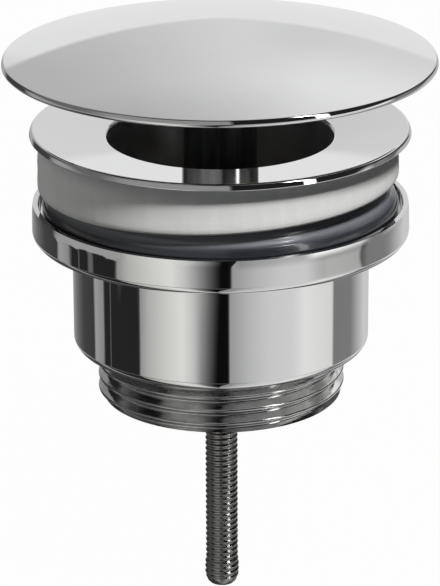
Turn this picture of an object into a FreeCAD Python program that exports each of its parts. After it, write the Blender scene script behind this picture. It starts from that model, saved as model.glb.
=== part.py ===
import FreeCAD, Part
import math
import os
import Sketcher

# Free-flow basin waste.
# Millimetres, +Z up. The origin is on the axis, in the plane where the flange's rim sits on the basin.

doc = FreeCAD.newDocument("BasinWaste")

# Driving dimensions
SIZES = [
    # Upper body: dished flange and neck
    ("flange_radius", 31.95),
    ("flange_edge", 1.1),
    ("flange_edge_round", 0.5),
    ("flange_under_round", 0.45),
    ("flange_dish", 1.55),
    ("throat_radius", 18.9),
    ("throat_round", 0.5),
    ("neck_wall", 2.3),
    ("neck_length", 24.0),
    ("neck_chamfer", 0.6),
    ("upper_shoulder", 1.3),
    ("upper_seat_depth", 20.0),
    # Lower body: cup, waist and threaded tail
    ("cup_radius", 31.75),
    ("cup_wall", 1.6),
    ("cup_rim_depth", 12.3),
    ("cup_height", 5.35),
    ("cup_floor", 2.6),
    ("cup_rim_round", 1.2),
    ("cup_base_round", 1.1),
    ("waist_ledge", 4.05),
    ("waist_wall", 2.4),
    ("waist_height", 18.95),
    ("waist_floor", 2.4),
    ("waist_base_round", 1.8),
    ("thread_radius", 20.955),
    ("thread_length", 9.5),
    ("thread_chamfer", 1.3),
    ("thread_pitch", 2.309),
    ("thread_depth", 1.48),
    ("thread_lead", 0.85),
    ("tail_bore", 18.2),
    ("lower_shoulder", 1.2),
    ("lower_seat_rise", 8.3),
    # Spiders: ring, spokes and hub
    ("ring_width", 2.0),
    ("ring_height", 4.0),
    ("spoke_width", 3.0),
    ("spoke_count", 4),
    ("press_clearance", 0.02),
    ("upper_hub_radius", 7.0),
    ("upper_hub_height", 6.0),
    ("lower_hub_radius", 8.5),
    ("lower_hub_height", 6.4),
    # Clamping screw (M6) and what turns with it
    ("screw_radius", 3.0),
    ("running_clearance", 0.08),
    ("screw_reach", 67.1),
    ("screw_pitch", 1.0),
    ("screw_thread_depth", 0.61),
    ("plain_end_radius", 2.95),
    ("plain_end_length", 4.4),
    ("plain_end_chamfer", 0.8),
    ("head_radius", 5.0),
    ("head_height", 8.0),
    ("head_chamfer", 0.5),
    ("key_flats", 5.0),
    ("key_depth", 4.0),
    ("o_ring_section", 0.45),
    ("o_ring_groove_depth", 0.9),
    ("o_ring_groove_width", 1.2),
    ("o_ring_depth", 2.6),
    ("o_ring_clearance", 0.025),
    ("washer_radius", 6.1),
    ("washer_thickness", 1.0),
    ("clip_radius", 5.2),
    ("clip_thickness", 0.7),
    ("clip_groove_depth", 0.5),
    ("clip_mouth", 3.6),
    ("clip_play", 0.2),
    # Captive nut (M6)
    ("nut_flats", 10.0),
    ("nut_height", 5.0),
    ("pocket_clearance", 0.05),
    ("hub_bore_clearance", 0.4),
    # Cap, boss and post
    ("cap_radius", 36.43),
    ("cap_lift", 11.63),
    ("cap_edge", 1.3),
    ("cap_edge_round", 0.6),
    ("cap_rise", 4.9),
    ("cap_wall", 1.2),
    ("cap_lip", 1.6),
    ("boss_radius", 9.0),
    ("boss_height", 3.0),
    ("braze_gap", 0.35),
    ("post_radius", 6.15),
    ("post_bore_clearance", 0.08),
    ("post_foot_gap", 0.4),
    ("post_edge_round", 0.3),
    ("stud_radius", 3.0),
    ("stud_length", 2.6),
    # Rubber seal
    ("seal_bore_clearance", 0.8),
    ("seal_side_clearance", 0.3),
    ("seal_band_height", 3.2),
    ("seal_band_taper", 0.5),
    ("seal_step_height", 1.2),
    ("seal_step_width", 0.3),
    ("seal_cone_height", 6.8),
    ("seal_top_radius", 24.4),
    # Foam gasket
    ("foam_radius", 30.3),
    ("foam_edge_inset", 0.7),
    ("foam_bulge_top", 2.6),
    ("foam_bulge_height", 2.6),
    ("foam_depth", 7.8),
    ("foam_tilt", 2.2),
    ("foam_shift", 0.4),
    ("foam_clearance", 0.35),
    ("foam_fit", 0.05),
]

sheet = doc.addObject("Spreadsheet::Sheet", "Sizes")
for row, (alias, size) in enumerate(SIZES, start=1):
    sheet.set(f"A{row}", alias)
    sheet.set(f"B{row}", str(size))
    sheet.setAlias(f"B{row}", alias)
doc.recompute()

# Lengths and levels worked out from the driving dimensions
NECK_RADIUS = "Sizes.throat_radius + Sizes.neck_wall"
UPPER_SEAT = "-Sizes.upper_seat_depth"
UPPER_HUB_TOP = f"{UPPER_SEAT} + Sizes.ring_height"
HEAD_UNDERSIDE = f"{UPPER_HUB_TOP} + Sizes.washer_thickness"
HEAD_TOP = f"{HEAD_UNDERSIDE} + Sizes.head_height"
SCREW_END = f"{HEAD_UNDERSIDE} - Sizes.screw_reach"
CLIP_TOP = f"{UPPER_HUB_TOP} - Sizes.upper_hub_height - Sizes.clip_play"
CUP_INNER = "Sizes.cup_radius - Sizes.cup_wall"
CUP_BOTTOM = "-Sizes.cup_rim_depth - Sizes.cup_height"
CUP_FLOOR = f"{CUP_BOTTOM} + Sizes.cup_floor"
WAIST_RADIUS = "Sizes.thread_radius + Sizes.waist_ledge"
WAIST_INNER = f"{WAIST_RADIUS} - Sizes.waist_wall"
WAIST_BOTTOM = f"{CUP_BOTTOM} - Sizes.waist_height"
WAIST_FLOOR = f"{WAIST_BOTTOM} + Sizes.waist_floor"
TAIL_END = f"{WAIST_BOTTOM} - Sizes.thread_length"
LOWER_SEAT = f"{TAIL_END} + Sizes.lower_seat_rise"
LOWER_HUB_END = f"{LOWER_SEAT} - Sizes.lower_hub_height"
CAP_RIM_TOP = "Sizes.cap_lift + Sizes.cap_edge"
CAP_TOP = f"{CAP_RIM_TOP} + Sizes.cap_rise"
BOSS_TOP = f"{CAP_TOP} - Sizes.cap_wall - Sizes.braze_gap"
BOSS_BOTTOM = f"{BOSS_TOP} - Sizes.boss_height"
POST_FOOT = f"{HEAD_UNDERSIDE} + Sizes.post_foot_gap"
SEAL_BORE = f"{NECK_RADIUS} + Sizes.seal_bore_clearance"
SEAL_OUTER = f"{CUP_INNER} - Sizes.seal_side_clearance"
SEAL_BAND_TOP = f"{CUP_FLOOR} + Sizes.seal_band_height"
SEAL_STEP_TOP = f"{SEAL_BAND_TOP} + Sizes.seal_step_height"
SEAL_BAND_END = f"{SEAL_OUTER} - Sizes.seal_band_taper"
SEAL_CONE_FOOT = f"{SEAL_BAND_END} - Sizes.seal_step_width"
SEAL_TOP = f"{SEAL_STEP_TOP} + Sizes.seal_cone_height"

# The spokes, and the nut with them, stand between the X and Y directions
SPOKE_TURN = FreeCAD.Rotation(FreeCAD.Vector(0, 0, 1), 45)


def number(expression):
    """The present value of an expression, in millimetres or degrees."""
    found = sheet.evalExpression(expression)
    return float(getattr(found, "Value", found))


def new_body(label):
    body = doc.addObject("PartDesign::Body", label)
    body.Label = label
    return body


def new_sketch(body, plane, name):
    """A sketch on one of the body's own origin planes."""
    sketch = body.newObject("Sketcher::SketchObject", name)
    origin_plane = next(f for f in body.Origin.OriginFeatures if f.Role == plane)
    sketch.AttachmentSupport = [(origin_plane, "")]
    sketch.MapMode = "FlatFace"
    return sketch


def pin_down(sketch, geometry, end, across, up):
    """Hold one end of a line or arc at a place given by two expressions."""
    for kind, expression in (("DistanceX", across), ("DistanceY", up)):
        index = sketch.addConstraint(
            Sketcher.Constraint(kind, -1, 1, geometry, end, number(expression))
        )
        sketch.setExpression(f"Constraints[{index}]", expression)


def arc_about_axis(start, finish):
    """An arc between two points of a profile, with its centre on the vertical axis."""
    (x0, y0), (x1, y1) = start, finish
    centre = (x1 * x1 + y1 * y1 - x0 * x0 - y0 * y0) / (2 * (y1 - y0))
    radius = math.hypot(x0, y0 - centre)
    angles = [math.atan2(y0 - centre, x0), math.atan2(y1 - centre, x1)]
    circle = Part.Circle(FreeCAD.Vector(0, centre, 0), FreeCAD.Vector(0, 0, 1), radius)
    return Part.ArcOfCircle(circle, min(angles), max(angles)), angles[0] > angles[1]


def draw_profile(sketch, points, arcs=()):
    """A closed outline through points given as pairs of expressions.

    arcs lists the sides, by their first point, that are arcs about the vertical axis.
    """
    places = [(number(across), number(up)) for across, up in points]
    ends = []
    for index, start in enumerate(places):
        finish = places[(index + 1) % len(places)]
        if index in arcs:
            curve, backwards = arc_about_axis(start, finish)
            geometry = sketch.addGeometry(curve, False)
            first, last = (2, 1) if backwards else (1, 2)
            sketch.addConstraint(Sketcher.Constraint("PointOnObject", geometry, 3, -2))
            pin_down(sketch, geometry, last, *points[(index + 1) % len(points)])
        else:
            line = Part.LineSegment(FreeCAD.Vector(*start, 0), FreeCAD.Vector(*finish, 0))
            geometry = sketch.addGeometry(line, False)
            first, last = 1, 2
        pin_down(sketch, geometry, first, *points[index])
        ends.append((geometry, first, last))
    for index, (geometry, first, last) in enumerate(ends):
        following, its_first, its_last = ends[(index + 1) % len(ends)]
        if index in arcs:
            continue
        sketch.addConstraint(Sketcher.Constraint("Coincident", geometry, last, following, its_first))


def revolve(body, points, arcs=(), name="Profile"):
    """Turn a profile in the XZ plane about the body's vertical axis."""
    sketch = new_sketch(body, "XZ_Plane", name)
    draw_profile(sketch, points, arcs)
    turned = body.newObject("PartDesign::Revolution", f"{name}Turned")
    turned.Profile = sketch
    turned.ReferenceAxis = (sketch, ["V_Axis"])
    turned.Angle = 360
    doc.recompute()
    return turned


def circle_sketch(body, name, level, radii):
    """Circles about the axis at a level, such as a disc or a ring."""
    sketch = new_sketch(body, "XY_Plane", name)
    sketch.setExpression("AttachmentOffset.Base.z", level)
    for radius in radii:
        circle = Part.Circle(FreeCAD.Vector(0, 0, 0), FreeCAD.Vector(0, 0, 1), number(radius))
        geometry = sketch.addGeometry(circle, False)
        sketch.addConstraint(Sketcher.Constraint("Coincident", geometry, 3, -1, 1))
        index = sketch.addConstraint(Sketcher.Constraint("Radius", geometry, number(radius)))
        sketch.setExpression(f"Constraints[{index}]", radius)
    return sketch


def hexagon_sketch(body, name, level, half_flats):
    """A hexagon about the axis, with its half width across flats given."""
    sketch = new_sketch(body, "XY_Plane", name)
    sketch.setExpression("AttachmentOffset.Base.z", level)
    corner = f"({half_flats}) / cos(30deg)"
    points = []
    for step in range(6):
        turn = f"{60 * step}deg"
        points.append((f"{corner} * cos({turn})", f"{corner} * sin({turn})"))
    draw_profile(sketch, points)
    return sketch


def pad(body, sketch, height, upwards=True):
    grown = body.newObject("PartDesign::Pad", f"{sketch.Name}Pad")
    grown.Profile = sketch
    grown.setExpression("Length", height)
    grown.Reversed = not upwards
    doc.recompute()
    return grown


def pocket(body, sketch, depth, upwards=True):
    """Cut a sketch into the body, and make sure that it takes something away."""
    before = body.Shape.Volume
    hollow = body.newObject("PartDesign::Pocket", f"{sketch.Name}Pocket")
    hollow.Profile = sketch
    hollow.setExpression("Length", depth)
    hollow.Reversed = upwards
    doc.recompute()
    if body.Shape.Volume >= before:
        raise RuntimeError(f"{hollow.Name} cuts nothing")
    return hollow


def ring_edges(feature, radius, level):
    """Names of the circular edges of a feature with a given radius at a given level."""
    names = []
    for index, edge in enumerate(feature.Shape.Edges, start=1):
        if edge.Degenerated or not isinstance(edge.Curve, Part.Circle):
            continue
        same_size = abs(edge.Curve.Radius - number(radius)) < 0.001
        same_level = abs(edge.Curve.Center.z - number(level)) < 0.001
        if same_size and same_level:
            names.append(f"Edge{index}")
    if not names:
        raise RuntimeError(f"{feature.Name} has no edge of radius {radius} at {level}")
    return names


def dress(body, kind, radius, level, size):
    """Round or chamfer the body's circular edge of a given radius at a given level."""
    base = body.Tip
    dressed = body.newObject(f"PartDesign::{kind}", f"{kind}{len(body.Group)}")
    dressed.Base = (base, ring_edges(base, radius, level))
    dressed.setExpression("Radius" if kind == "Fillet" else "Size", size)
    doc.recompute()
    return dressed


def cut_thread(body, radius, depth, pitch, lowest, room):
    """Thread form as rings of grooves one pitch apart, upwards from the lowest, as many as the room holds."""
    sketch = new_sketch(body, "XZ_Plane", "ThreadForm")
    outside = f"{radius} + {depth} / 8"
    root = f"{radius} - {depth}"
    draw_profile(sketch, [
        (outside, f"{lowest} - {pitch} * 0.45"),
        (root, f"{lowest} - {pitch} / 12"),
        (root, f"{lowest} + {pitch} / 12"),
        (outside, f"{lowest} + {pitch} * 0.45"),
    ])
    before = body.Shape.Volume
    groove = body.newObject("PartDesign::Groove", "ThreadGroove")
    groove.Profile = sketch
    groove.ReferenceAxis = (sketch, ["V_Axis"])
    groove.Angle = 360
    doc.recompute()
    if body.Shape.Volume >= before:
        raise RuntimeError(f"the thread of {body.Label} cuts nothing")
    rings = body.newObject("PartDesign::LinearPattern", "ThreadRings")
    rings.Originals = [groove]
    rings.Direction = (sketch, ["V_Axis"])
    turns = f"floor(({room}) / {pitch})"
    rings.setExpression("Occurrences", turns)
    rings.setExpression("Length", f"({turns} - 1) * {pitch}")
    body.Tip = rings
    doc.recompute()


def make_upper_body():
    """Dished flange, throat and neck, with an inner shoulder for the spider."""
    body = new_body("upper_body")
    lip = "Sizes.throat_radius - Sizes.upper_shoulder"
    throat_top = "Sizes.flange_edge - Sizes.flange_dish"
    revolve(body, [
        ("Sizes.throat_radius", throat_top),
        ("Sizes.flange_radius", "Sizes.flange_edge"),
        ("Sizes.flange_radius", "0"),
        (NECK_RADIUS, "-Sizes.flange_dish"),
        (NECK_RADIUS, "-Sizes.neck_length"),
        (lip, "-Sizes.neck_length"),
        (lip, UPPER_SEAT),
        ("Sizes.throat_radius", UPPER_SEAT),
    ])
    dress(body, "Fillet", "Sizes.flange_radius", "Sizes.flange_edge", "Sizes.flange_edge_round")
    dress(body, "Fillet", "Sizes.flange_radius", "0", "Sizes.flange_under_round")
    dress(body, "Fillet", "Sizes.throat_radius", throat_top, "Sizes.throat_round")
    dress(body, "Chamfer", NECK_RADIUS, "-Sizes.neck_length", "Sizes.neck_chamfer")
    return body


def make_lower_body():
    """Cup for the seal, waist, and tail with the outlet thread outside."""
    body = new_body("lower_body")
    lip = "Sizes.tail_bore - Sizes.lower_shoulder"
    rim = "-Sizes.cup_rim_depth"
    revolve(body, [
        (CUP_INNER, rim),
        ("Sizes.cup_radius", rim),
        ("Sizes.cup_radius", CUP_BOTTOM),
        (WAIST_RADIUS, CUP_BOTTOM),
        (WAIST_RADIUS, WAIST_BOTTOM),
        ("Sizes.thread_radius", WAIST_BOTTOM),
        ("Sizes.thread_radius", TAIL_END),
        ("Sizes.tail_bore", TAIL_END),
        ("Sizes.tail_bore", LOWER_SEAT),
        (lip, LOWER_SEAT),
        (lip, WAIST_FLOOR),
        (WAIST_INNER, WAIST_FLOOR),
        (WAIST_INNER, CUP_FLOOR),
        (CUP_INNER, CUP_FLOOR),
    ])
    dress(body, "Fillet", "Sizes.cup_radius", rim, "Sizes.cup_rim_round")
    dress(body, "Fillet", "Sizes.cup_radius", CUP_BOTTOM, "Sizes.cup_base_round")
    dress(body, "Fillet", WAIST_RADIUS, WAIST_BOTTOM, "Sizes.waist_base_round")
    dress(body, "Chamfer", "Sizes.thread_radius", TAIL_END, "Sizes.thread_chamfer")
    cut_thread(
        body, "Sizes.thread_radius", "Sizes.thread_depth", "Sizes.thread_pitch",
        f"{TAIL_END} + Sizes.thread_lead", "Sizes.thread_length",
    )
    return body


def make_spider(label, outer, seat, upwards, hub_radius, hub_top, hub_height, bore):
    """Ring, spokes and hub in one piece. The ring starts at its seat and goes up or down."""
    body = new_body(label)
    inner = f"{outer} - Sizes.ring_width"
    ring = circle_sketch(body, "Ring", seat, [outer, inner])
    pad(body, ring, "Sizes.ring_height", upwards)
    hub = circle_sketch(body, "Hub", hub_top, [hub_radius])
    pad(body, hub, hub_height, upwards=False)
    spoke = new_sketch(body, "XY_Plane", "Spoke")
    spoke.setExpression("AttachmentOffset.Base.z", seat)
    near = f"{hub_radius} / 2"
    far = f"{outer} - Sizes.ring_width / 2"
    half = "Sizes.spoke_width / 2"
    draw_profile(spoke, [(near, f"-{half}"), (far, f"-{half}"), (far, half), (near, half)])
    first = pad(body, spoke, "Sizes.ring_height", upwards)
    around = body.newObject("PartDesign::PolarPattern", "Spokes")
    around.Originals = [first]
    around.Axis = (spoke, ["N_Axis"])
    around.Angle = 360
    around.setExpression("Occurrences", "Sizes.spoke_count")
    body.Tip = around
    doc.recompute()
    opening = circle_sketch(body, "Bore", hub_top, [bore])
    pocket(body, opening, hub_height, upwards=False)
    body.Placement.Rotation = SPOKE_TURN
    return body


def make_upper_spider():
    outer = "(Sizes.throat_radius - Sizes.press_clearance)"
    bore = "Sizes.screw_radius + Sizes.running_clearance"
    return make_spider(
        "upper_spider", outer, UPPER_SEAT, True,
        "Sizes.upper_hub_radius", UPPER_HUB_TOP, "Sizes.upper_hub_height", bore,
    )


def make_lower_spider():
    outer = "(Sizes.tail_bore - Sizes.press_clearance)"
    bore = "Sizes.screw_radius + Sizes.hub_bore_clearance"
    body = make_spider(
        "lower_spider", outer, LOWER_SEAT, False,
        "Sizes.lower_hub_radius", LOWER_SEAT, "Sizes.lower_hub_height", bore,
    )
    half_flats = "Sizes.nut_flats / 2 + Sizes.pocket_clearance"
    seat = hexagon_sketch(body, "NutPocket", LOWER_HUB_END, half_flats)
    pocket(body, seat, "Sizes.nut_height", upwards=True)
    return body


def make_captive_nut():
    body = new_body("captive_nut")
    outline = hexagon_sketch(body, "Outline", LOWER_HUB_END, "Sizes.nut_flats / 2")
    pad(body, outline, "Sizes.nut_height")
    bore = circle_sketch(body, "Bore", LOWER_HUB_END, ["Sizes.screw_radius + Sizes.running_clearance"])
    pocket(body, bore, "Sizes.nut_height", upwards=True)
    body.Placement.Rotation = SPOKE_TURN
    return body


def make_clamping_screw():
    """Round head with a key socket and an O-ring groove, M6 shank, plain end."""
    body = new_body("clamping_screw")
    groove_centre = f"{HEAD_TOP} - Sizes.o_ring_depth"
    groove_top = f"{groove_centre} + Sizes.o_ring_groove_width / 2"
    groove_end = f"{groove_centre} - Sizes.o_ring_groove_width / 2"
    groove_radius = "Sizes.head_radius - Sizes.o_ring_groove_depth"
    clip_seat = "Sizes.screw_radius - Sizes.clip_groove_depth"
    clip_end = f"{CLIP_TOP} - Sizes.clip_thickness"
    plain_top = f"{SCREW_END} + Sizes.plain_end_length"
    revolve(body, [
        ("0", HEAD_TOP),
        ("Sizes.head_radius", HEAD_TOP),
        ("Sizes.head_radius", groove_top),
        (groove_radius, groove_top),
        (groove_radius, groove_end),
        ("Sizes.head_radius", groove_end),
        ("Sizes.head_radius", HEAD_UNDERSIDE),
        ("Sizes.screw_radius", HEAD_UNDERSIDE),
        ("Sizes.screw_radius", CLIP_TOP),
        (clip_seat, CLIP_TOP),
        (clip_seat, clip_end),
        ("Sizes.screw_radius", clip_end),
        ("Sizes.screw_radius", plain_top),
        ("Sizes.plain_end_radius", plain_top),
        ("Sizes.plain_end_radius", SCREW_END),
        ("0", SCREW_END),
    ])
    dress(body, "Chamfer", "Sizes.head_radius", HEAD_TOP, "Sizes.head_chamfer")
    dress(body, "Chamfer", "Sizes.plain_end_radius", SCREW_END, "Sizes.plain_end_chamfer")
    key = hexagon_sketch(body, "Key", HEAD_TOP, "Sizes.key_flats / 2")
    pocket(body, key, "Sizes.key_depth", upwards=False)
    cut_thread(
        body, "Sizes.screw_radius", "Sizes.screw_thread_depth", "Sizes.screw_pitch",
        f"{plain_top} + Sizes.screw_pitch / 2", f"{clip_end} - ({plain_top}) - Sizes.screw_pitch / 2",
    )
    return body


def make_head_o_ring():
    """O-ring squeezed between the groove of the screw's head and the post's bore."""
    ring = doc.addObject("Part::Torus", "head_o_ring")
    ring.Label = "head_o_ring"
    outside = "Sizes.head_radius + Sizes.post_bore_clearance - Sizes.o_ring_clearance"
    ring.setExpression("Radius1", f"{outside} - Sizes.o_ring_section")
    ring.setExpression("Radius2", "Sizes.o_ring_section")
    ring.setExpression("Placement.Base.z", f"{HEAD_TOP} - Sizes.o_ring_depth")
    return ring


def make_thrust_washer():
    body = new_body("thrust_washer")
    bore = "Sizes.screw_radius + Sizes.running_clearance"
    face = circle_sketch(body, "Face", UPPER_HUB_TOP, ["Sizes.washer_radius", bore])
    pad(body, face, "Sizes.washer_thickness")
    return body


def make_retaining_ring():
    """Open spring ring in the screw's groove, under the hub."""
    body = new_body("retaining_ring")
    seat = "Sizes.screw_radius - Sizes.clip_groove_depth"
    face = circle_sketch(body, "Face", CLIP_TOP, ["Sizes.clip_radius", seat])
    pad(body, face, "Sizes.clip_thickness", upwards=False)
    mouth = new_sketch(body, "XY_Plane", "Mouth")
    mouth.setExpression("AttachmentOffset.Base.z", CLIP_TOP)
    half = "Sizes.clip_mouth / 2"
    draw_profile(mouth, [("0", f"-{half}"), ("Sizes.clip_radius * 2", f"-{half}"),
                         ("Sizes.clip_radius * 2", half), ("0", half)])
    pocket(body, mouth, "Sizes.clip_thickness", upwards=False)
    return body


def make_cap_shell():
    """Shallow dome of even wall with a thicker rolled rim."""
    body = new_body("cap_shell")
    lip = "Sizes.cap_radius - Sizes.cap_lip"
    lip_top = f"{CAP_RIM_TOP} - Sizes.cap_wall / 2"
    revolve(body, [
        ("0", CAP_TOP),
        ("Sizes.cap_radius", CAP_RIM_TOP),
        ("Sizes.cap_radius", "Sizes.cap_lift"),
        (lip, "Sizes.cap_lift"),
        (lip, lip_top),
        ("0", f"{CAP_TOP} - Sizes.cap_wall"),
    ], arcs=(0, 4))
    dress(body, "Fillet", "Sizes.cap_radius", CAP_RIM_TOP, "Sizes.cap_edge_round")
    dress(body, "Fillet", "Sizes.cap_radius", "Sizes.cap_lift", "Sizes.cap_edge_round")
    return body


def make_cap_boss():
    """Disc brazed under the dome, with a threaded hole for the post's stud."""
    body = new_body("cap_boss")
    bore = "Sizes.stud_radius + Sizes.running_clearance"
    face = circle_sketch(body, "Face", BOSS_TOP, ["Sizes.boss_radius", bore])
    pad(body, face, "Sizes.boss_height", upwards=False)
    return body


def make_cap_post():
    """Post with a stud on top and a bore below that pushes over the screw's head."""
    body = new_body("cap_post")
    bore = "Sizes.head_radius + Sizes.post_bore_clearance"
    stud_top = f"{BOSS_BOTTOM} + Sizes.stud_length"
    revolve(body, [
        ("0", stud_top),
        ("Sizes.stud_radius", stud_top),
        ("Sizes.stud_radius", BOSS_BOTTOM),
        ("Sizes.post_radius", BOSS_BOTTOM),
        ("Sizes.post_radius", POST_FOOT),
        (bore, POST_FOOT),
        (bore, HEAD_TOP),
        ("0", HEAD_TOP),
    ])
    dress(body, "Fillet", "Sizes.post_radius", POST_FOOT, "Sizes.post_edge_round")
    return body


def make_rubber_seal():
    """Cone ring standing in the cup, with a band and a step round its foot."""
    body = new_body("rubber_seal")
    revolve(body, [
        (SEAL_BORE, SEAL_TOP),
        ("Sizes.seal_top_radius", SEAL_TOP),
        (SEAL_CONE_FOOT, SEAL_STEP_TOP),
        (SEAL_BAND_END, SEAL_STEP_TOP),
        (SEAL_OUTER, SEAL_BAND_TOP),
        (SEAL_OUTER, CUP_FLOOR),
        (SEAL_BORE, CUP_FLOOR),
    ])
    return body


def make_foam_gasket():
    """Bulged foam ring: flat against the flange, hollowed for the seal, hanging askew.

    Its outside is a little off the axis, while the hollows in it are on the axis.
    """
    barrel = new_body("foam_barrel")
    edge = "Sizes.foam_radius - Sizes.foam_edge_inset"
    depth = "2 * Sizes.foam_depth"
    revolve(barrel, [
        ("0", "0"),
        (edge, "0"),
        ("Sizes.foam_radius", "-Sizes.foam_bulge_top"),
        ("Sizes.foam_radius", "-Sizes.foam_bulge_top - Sizes.foam_bulge_height"),
        (edge, f"-({depth})"),
        ("0", f"-({depth})"),
    ])
    barrel.setExpression("Placement.Base.x", "-Sizes.foam_shift")
    flange_side = new_body("foam_flange_side")
    slope = "Sizes.flange_dish / (Sizes.flange_radius - Sizes.throat_radius - Sizes.neck_wall)"
    reach = "Sizes.flange_radius + Sizes.foam_depth"
    revolve(flange_side, [
        ("0", "Sizes.flange_edge"),
        (reach, "Sizes.flange_edge"),
        (reach, f"({reach} - Sizes.flange_radius) * {slope} - Sizes.foam_fit"),
        (NECK_RADIUS, "-Sizes.flange_dish - Sizes.foam_fit"),
        ("0", "-Sizes.flange_dish - Sizes.foam_fit"),
    ])
    seal_side = new_body("foam_seal_side")
    gap = "Sizes.foam_clearance"
    revolve(seal_side, [
        ("0", f"{SEAL_TOP} + {gap}"),
        (f"Sizes.seal_top_radius + {gap}", f"{SEAL_TOP} + {gap}"),
        (f"{SEAL_CONE_FOOT} + {gap} * 2", SEAL_STEP_TOP),
        (f"{SEAL_CONE_FOOT} + {gap} * 2", f"{SEAL_STEP_TOP} - {depth}"),
        ("0", f"{SEAL_STEP_TOP} - {depth}"),
    ])
    bore = doc.addObject("Part::Cylinder", "foam_bore")
    bore.setExpression("Radius", f"{NECK_RADIUS} + {gap}")
    bore.setExpression("Height", f"{depth} * 2")
    bore.setExpression("Placement.Base.z", f"-({depth})")
    underside = doc.addObject("Part::Box", "foam_underside")
    side = "2 * (Sizes.foam_radius + Sizes.flange_radius)"
    underside.setExpression("Length", side)
    underside.setExpression("Width", side)
    underside.setExpression("Height", depth)
    tilt = number("Sizes.foam_tilt")
    turn = FreeCAD.Rotation(FreeCAD.Vector(0, 1, 0), -tilt)
    corner = FreeCAD.Vector(-number(side) / 2, -number(side) / 2, -number(depth))
    middle = FreeCAD.Vector(0, 0, -number("Sizes.foam_depth"))
    underside.Placement = FreeCAD.Placement(middle + turn.multVec(corner), turn)
    hollows = doc.addObject("Part::MultiFuse", "foam_hollows")
    hollows.Shapes = [flange_side, seal_side, bore, underside]
    gasket = doc.addObject("Part::Cut", "foam_gasket")
    gasket.Base = barrel
    gasket.Tool = hollows
    gasket.Label = "foam_gasket"
    return gasket


PIECES = [
    make_upper_body(),
    make_upper_spider(),
    make_foam_gasket(),
    make_thrust_washer(),
    make_clamping_screw(),
    make_retaining_ring(),
    make_head_o_ring(),
    make_cap_shell(),
    make_cap_boss(),
    make_cap_post(),
    make_lower_body(),
    make_lower_spider(),
    make_captive_nut(),
    make_rubber_seal(),
]

doc.recompute()
for item in doc.Objects:
    if "Invalid" in item.State or "Error" in item.State:
        raise RuntimeError(f"{item.Label} did not recompute")
for piece in PIECES:
    if piece.Shape.isNull() or not piece.Shape.isValid():
        raise RuntimeError(f"{piece.Label} has no valid shape")

os.makedirs("parts", exist_ok=True)
for piece in PIECES:
    piece.Shape.exportStep(f"parts/{piece.Label}.step")
    print(piece.Label, len(piece.Shape.Solids), round(piece.Shape.Volume, 1))
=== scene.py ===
import math

import bmesh
import bpy
from mathutils import Matrix, Vector


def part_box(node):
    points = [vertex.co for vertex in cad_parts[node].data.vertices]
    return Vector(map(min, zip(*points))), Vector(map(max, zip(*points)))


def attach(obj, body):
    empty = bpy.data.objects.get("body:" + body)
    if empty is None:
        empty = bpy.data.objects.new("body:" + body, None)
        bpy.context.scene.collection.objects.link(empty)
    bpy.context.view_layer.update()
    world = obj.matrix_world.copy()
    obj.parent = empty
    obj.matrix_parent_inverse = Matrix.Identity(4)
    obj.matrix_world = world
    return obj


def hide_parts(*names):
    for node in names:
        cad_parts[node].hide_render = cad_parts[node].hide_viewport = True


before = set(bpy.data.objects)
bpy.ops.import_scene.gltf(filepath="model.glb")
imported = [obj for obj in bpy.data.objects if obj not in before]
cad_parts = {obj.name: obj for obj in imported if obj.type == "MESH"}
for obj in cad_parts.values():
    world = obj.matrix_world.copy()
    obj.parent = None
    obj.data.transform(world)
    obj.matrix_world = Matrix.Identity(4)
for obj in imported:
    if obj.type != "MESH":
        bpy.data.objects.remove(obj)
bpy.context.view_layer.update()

# Free-flow basin waste. Outlines are in millimetres: each point is its distance from the axis and its
# height above the flange's seat on the basin. The camera, the lamp and the floor are placed in metres.
MM = 0.001
STEPS_ROUND = 192
SCENE = bpy.context.scene


# Camera

def make_camera():
    """A long lens that looks a little down on the basin waste."""
    sensor_width = 36
    focal_length = 227.9
    degrees_down = 19.912
    degrees_askew = -0.25
    place = (-0.00015, -0.59152, 0.18557)
    lens = bpy.data.cameras.new("camera")
    lens.sensor_width = sensor_width
    lens.lens = focal_length
    camera = bpy.data.objects.new("camera", lens)
    SCENE.collection.objects.link(camera)
    looking_down = Matrix.Rotation(math.radians(90 - degrees_down), 4, "X")
    leaning = Matrix.Rotation(math.radians(degrees_askew), 4, "Z")
    camera.matrix_world = Matrix.Translation(place) @ looking_down @ leaning
    SCENE.camera = camera


# Shader values and nodes

def colour_of(tone):
    """A grey given as one number, or red, green and blue, as a full colour."""
    return (*tone, 1.0) if isinstance(tone, tuple) else (tone, tone, tone, 1.0)


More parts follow.
